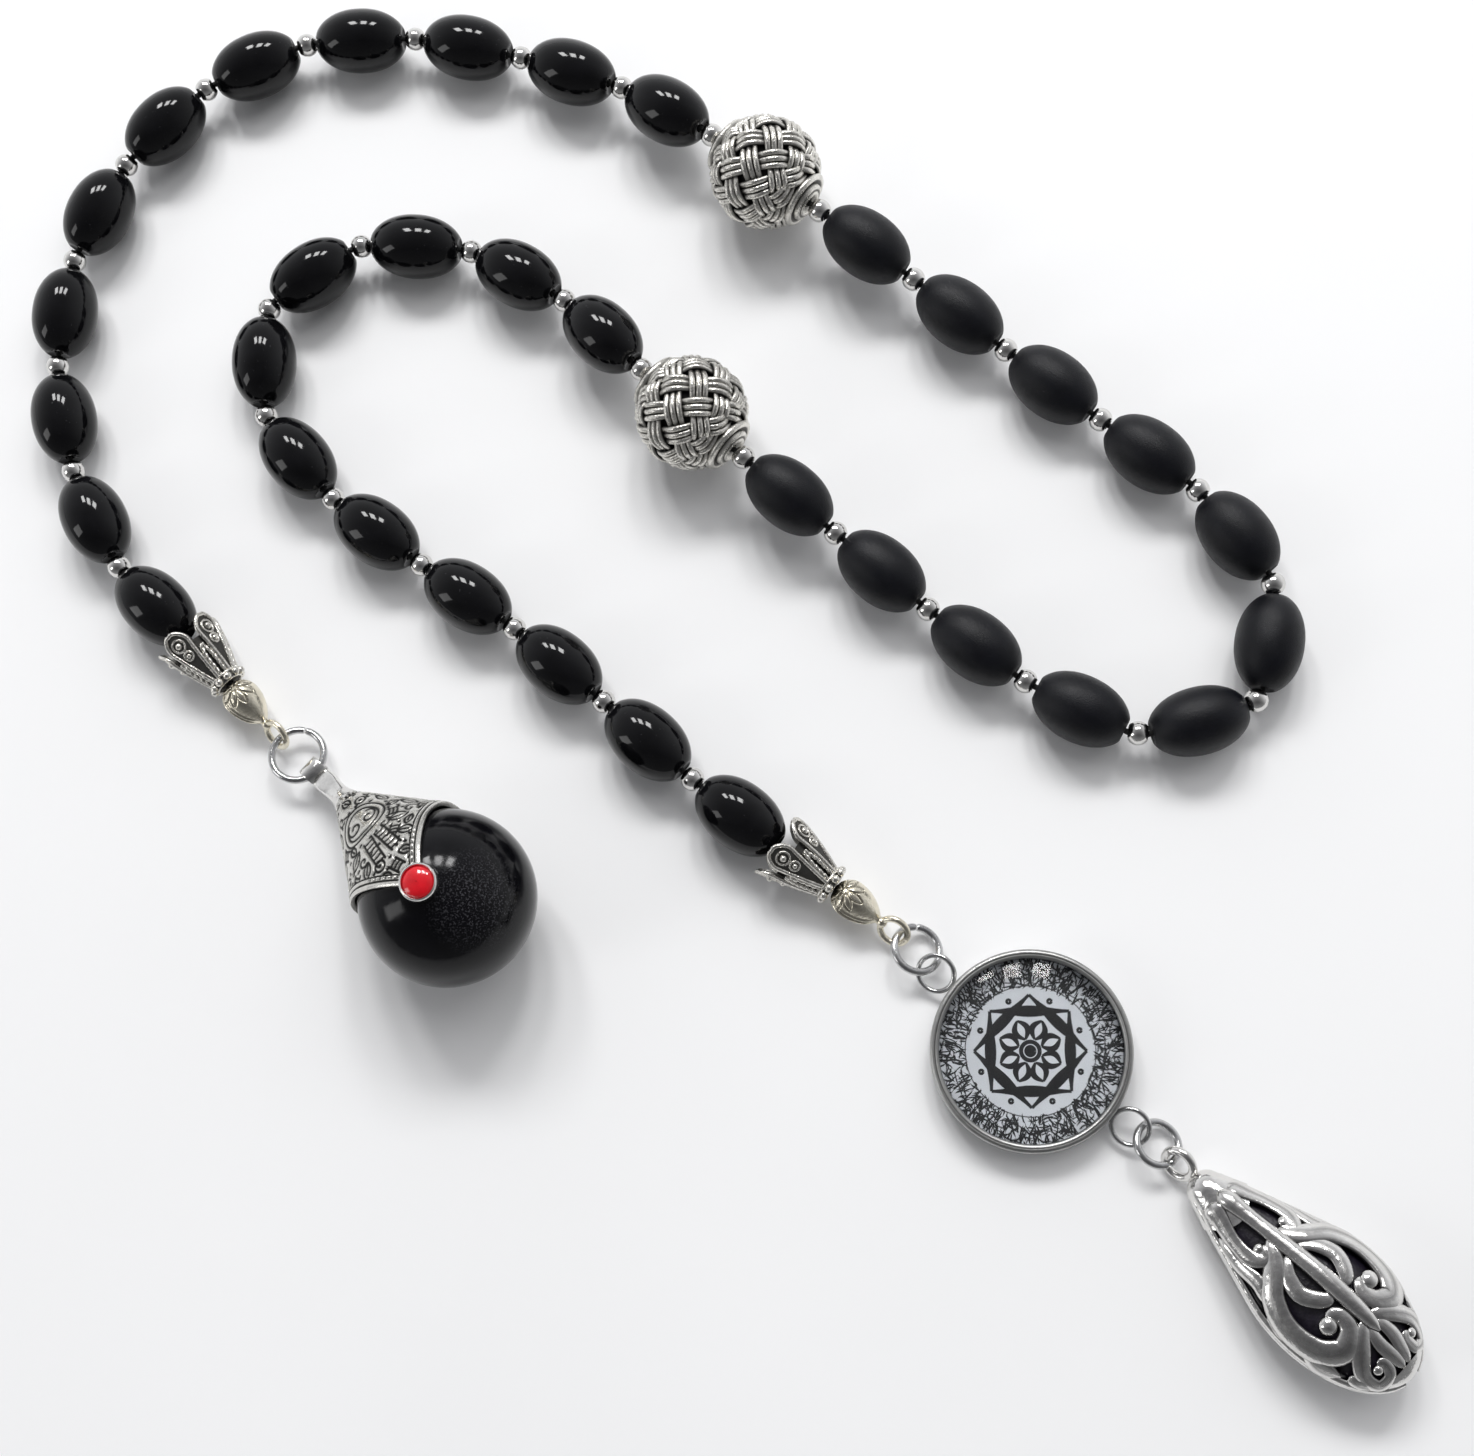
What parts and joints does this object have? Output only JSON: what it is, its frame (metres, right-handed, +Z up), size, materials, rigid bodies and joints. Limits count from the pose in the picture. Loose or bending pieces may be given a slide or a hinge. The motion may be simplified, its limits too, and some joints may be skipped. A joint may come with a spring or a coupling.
{
  "type": "misbaha prayer beads",
  "caption": "Loop of oval black beads on a thread with metal spacers, two woven metal balls and crowned ends; one end holds a capped ball drop, the other a framed disc and a pierced teardrop.",
  "frame": {"origin": "middle of the laid-out object's bounding box, on the surface it lies on", "axes": "+Z up from the surface; the strand is laid out in the XY plane with the disc and teardrop toward +X -Y and the ball drop near the middle of the -X side"},
  "size_m": [0.1647, 0.17, 0.0226],
  "materials": {
    "glossy_stone": "polished black stone-like bead, mirror gloss",
    "matte_stone": "frosted black stone-like bead, satin to matte",
    "steel": "polished steel rondelle",
    "woven_silver": "antique silver, dark in the recesses",
    "thread": "black waxed beading thread",
    "crown_silver": "antique silver, dark in the recesses",
    "tip_metal": "warm champagne silver, worn",
    "crimp_metal": "plain crimp tube",
    "jump_ring_steel": "bright drawn wire",
    "hood_silver": "engraved silver, black in the grooves",
    "drop_stone": "polished black stone-like ball with worn specks",
    "red_stud": "red domed enamel",
    "tray_steel": "stamped steel, satin, bright lip",
    "print": null,
    "disc_glass": "clear domed glass",
    "disc_ring_steel": "bright thin wire",
    "teardrop_silver": "bright cast silver filigree",
    "bail_silver": "bright thick wire loop"
  },
  "bodies": {
    "link_01": {"bead_01": "glossy_stone", "spacer_01": "steel"},
    "link_02_03": {"beads_02_03": "glossy_stone", "spacers_02_03": "steel"},
    "link_04_05": {"beads_04_05": "glossy_stone", "spacers_04_05": "steel"},
    "link_06_07": {"beads_06_07": "glossy_stone", "spacers_06_07": "steel"},
    "link_08_09": {"beads_08_09": "glossy_stone", "spacers_08_09": "steel"},
    "link_10_11": {"beads_10_11": "glossy_stone", "spacers_10_11": "steel"},
    "woven_1": {"woven_bead_1": "woven_silver"},
    "link_12": {"bead_12": "matte_stone", "spacers_12": "steel"},
    "link_13_14": {"beads_13_14": "matte_stone", "spacers_13_14": "steel"},
    "link_15_16": {"beads_15_16": "matte_stone", "spacers_15_16": "steel"},
    "link_17_18": {"beads_17_18": "matte_stone", "spacers_17_18": "steel", "thread": "thread"},
    "link_19_20": {"beads_19_20": "matte_stone", "spacers_19_20": "steel"},
    "link_21_22": {"beads_21_22": "matte_stone", "spacers_21_22": "steel"},
    "woven_2": {"woven_bead_2": "woven_silver"},
    "link_23": {"bead_23": "glossy_stone", "spacers_23": "steel"},
    "link_24_25": {"beads_24_25": "glossy_stone", "spacers_24_25": "steel"},
    "link_26_27": {"beads_26_27": "glossy_stone", "spacers_26_27": "steel"},
    "link_28_29": {"beads_28_29": "glossy_stone", "spacers_28_29": "steel"},
    "link_30_31": {"beads_30_31": "glossy_stone", "spacers_30_31": "steel"},
    "link_32_33": {"beads_32_33": "glossy_stone", "spacer_32_33": "steel"},
    "end_a": {"crown_cap_a": "crown_silver", "bead_tip_a": "tip_metal", "crimp_a": "crimp_metal"},
    "ring_a": {"jump_ring_a": "jump_ring_steel"},
    "drop": {"drop_cap": "hood_silver", "drop_ball": "drop_stone", "drop_stud": "red_stud"},
    "end_b": {"crown_cap_b": "crown_silver", "bead_tip_b": "tip_metal", "crimp_b": "crimp_metal"},
    "ring_b": {"jump_ring_b": "jump_ring_steel"},
    "disc": {"disc_tray": "tray_steel", "disc_print": "print", "disc_glass": "disc_glass", "disc_ring_top": "disc_ring_steel", "disc_ring_bottom": "disc_ring_steel"},
    "ring_c": {"jump_ring_c": "jump_ring_steel"},
    "teardrop": {"teardrop_front": "teardrop_silver", "teardrop_back": "teardrop_silver", "teardrop_bail": "bail_silver"}
  },
  "joints": [
    {"name": "link_15_16_swing", "type": "hinge", "parent": "link_17_18", "child": "link_15_16", "pos_m": [0.07156, 0.0041, 0.004], "axis": [0.9848, -0.1736, 0], "range_deg": [-22, 22], "deforming": ["thread"]},
    {"name": "link_13_14_swing", "type": "hinge", "parent": "link_15_16", "child": "link_13_14", "pos_m": [0.05295, 0.02542, 0.004], "axis": [-0.6293, -0.7771, 0], "range_deg": [-30, 30], "deforming": ["thread"]},
    {"name": "link_12_swing", "type": "hinge", "parent": "link_13_14", "child": "link_12", "pos_m": [0.0309, 0.0439, 0.00493], "axis": [-0.6428, -0.766, 0], "range_deg": [-30, 30], "deforming": ["thread"]},
    {"name": "woven_1_swing", "type": "hinge", "parent": "link_12", "child": "woven_1", "pos_m": [0.01773, 0.05394, 0.00701], "axis": [0.6293, 0.7771, 0], "range_deg": [-18, 18], "deforming": ["thread"]},
    {"name": "link_10_11_swing", "type": "hinge", "parent": "woven_1", "child": "link_10_11", "pos_m": [0.00623, 0.06326, 0.00701], "axis": [0.6293, 0.7771, 0], "range_deg": [-18, 18], "deforming": ["thread"]},
    {"name": "link_08_09_swing", "type": "hinge", "parent": "link_10_11", "child": "link_08_09", "pos_m": [-0.01862, 0.07712, 0.00408], "axis": [-0.3746, -0.9272, 0], "range_deg": [-30, 30], "deforming": ["thread"]},
    {"name": "link_06_07_swing", "type": "hinge", "parent": "link_08_09", "child": "link_06_07", "pos_m": [-0.04693, 0.08104, 0.004], "axis": [0, -1, 0], "range_deg": [-22, 22], "deforming": ["thread"]},
    {"name": "link_04_05_swing", "type": "hinge", "parent": "link_06_07", "child": "link_04_05", "pos_m": [-0.07079, 0.06601, 0.004], "axis": [-0.7071, 0.7071, 0], "range_deg": [-22, 22], "deforming": ["thread"]},
    {"name": "link_02_03_swing", "type": "hinge", "parent": "link_04_05", "child": "link_02_03", "pos_m": [-0.07887, 0.03889, 0.004], "axis": [-0.9962, 0.0872, 0], "range_deg": [-22, 22], "deforming": ["thread"]},
    {"name": "link_01_swing", "type": "hinge", "parent": "link_02_03", "child": "link_01", "pos_m": [-0.06975, 0.01191, 0.004], "axis": [0.8829, 0.4695, 0], "range_deg": [-22, 22], "deforming": ["thread"]},
    {"name": "link_19_20_swing", "type": "hinge", "parent": "link_17_18", "child": "link_19_20", "pos_m": [0.05387, -0.01214, 0.004], "axis": [-0.4695, -0.8829, 0], "range_deg": [-22, 22], "deforming": ["thread"]},
    {"name": "link_21_22_swing", "type": "hinge", "parent": "link_19_20", "child": "link_21_22", "pos_m": [0.0301, 0.0039, 0.00408], "axis": [0.6561, 0.7547, 0], "range_deg": [-30, 30], "deforming": ["thread"]},
    {"name": "woven_2_swing", "type": "hinge", "parent": "link_21_22", "child": "woven_2", "pos_m": [0.00836, 0.02253, 0.00701], "axis": [0.682, 0.7314, 0], "range_deg": [-18, 18], "deforming": ["thread"]},
    {"name": "link_23_swing", "type": "hinge", "parent": "woven_2", "child": "link_23", "pos_m": [-0.00247, 0.03262, 0.00701], "axis": [-0.682, -0.7314, 0], "range_deg": [-18, 18], "deforming": ["thread"]},
    {"name": "link_24_25_swing", "type": "hinge", "parent": "link_23", "child": "link_24_25", "pos_m": [-0.0142, 0.04429, 0.00492], "axis": [-0.5299, -0.848, 0], "range_deg": [-22, 22], "deforming": ["thread"]},
    {"name": "link_26_27_swing", "type": "hinge", "parent": "link_24_25", "child": "link_26_27", "pos_m": [-0.04088, 0.05214, 0.004], "axis": [-0.5592, 0.829, 0], "range_deg": [-22, 22], "deforming": ["thread"]},
    {"name": "link_28_29_swing", "type": "hinge", "parent": "link_26_27", "child": "link_28_29", "pos_m": [-0.05071, 0.02908, 0.004], "axis": [-0.766, -0.6428, 0], "range_deg": [-22, 22], "deforming": ["thread"]},
    {"name": "link_30_31_swing", "type": "hinge", "parent": "link_28_29", "child": "link_30_31", "pos_m": [-0.02974, 0.0096, 0.004], "axis": [0.5736, 0.8192, 0], "range_deg": [-30, 30], "deforming": ["thread"]},
    {"name": "link_32_33_swing", "type": "hinge", "parent": "link_30_31", "child": "link_32_33", "pos_m": [-0.007, -0.00803, 0.004], "axis": [0.6691, 0.7431, 0], "range_deg": [-30, 30], "deforming": ["thread"]},
    {"name": "end_a_swing", "type": "hinge", "parent": "link_01", "child": "end_a", "pos_m": [-0.05966, 0.00167, 0.004], "axis": [0.7314, 0.682, 0], "range_deg": [-15, 15], "deforming": ["thread"]},
    {"name": "end_b_swing", "type": "hinge", "parent": "link_32_33", "child": "end_b", "pos_m": [0.01329, -0.02505, 0.004], "axis": [0.6018, 0.7986, 0], "range_deg": [-15, 15], "deforming": ["thread"]},
    {"name": "ring_a_swing", "type": "hinge", "parent": "end_a", "child": "ring_a", "pos_m": [-0.04738, -0.0115, 0.00211], "axis": [0.4779, 0.3286, 0.8147], "range_deg": [-45, 25]},
    {"name": "ring_b_swing", "type": "hinge", "parent": "end_b", "child": "ring_b", "pos_m": [0.02767, -0.03589, 0.00211], "axis": [0.4846, 0.5202, 0.7032], "range_deg": [-45, 45]},
    {"name": "drop_swing", "type": "hinge", "parent": "ring_a", "child": "drop", "pos_m": [-0.04334, -0.01501, 0.00255], "axis": [0.6561, 0.7547, 0], "range_deg": [-60, 60]},
    {"name": "disc_swing", "type": "hinge", "parent": "ring_b", "child": "disc", "pos_m": [0.03064, -0.03916, 0.00193], "axis": [0.7142, 0.558, -0.4226], "range_deg": [-50, 50]},
    {"name": "ring_c_swing", "type": "hinge", "parent": "disc", "child": "ring_c", "pos_m": [0.05444, -0.05833, 0.00193], "axis": [0.4726, 0.7746, 0.4203], "range_deg": [-60, 35]},
    {"name": "teardrop_swing", "type": "hinge", "parent": "ring_c", "child": "teardrop", "pos_m": [0.0574, -0.06077, 0.00183], "axis": [0.6296, 0.6519, -0.4226], "range_deg": [-60, 60]}
  ]
}
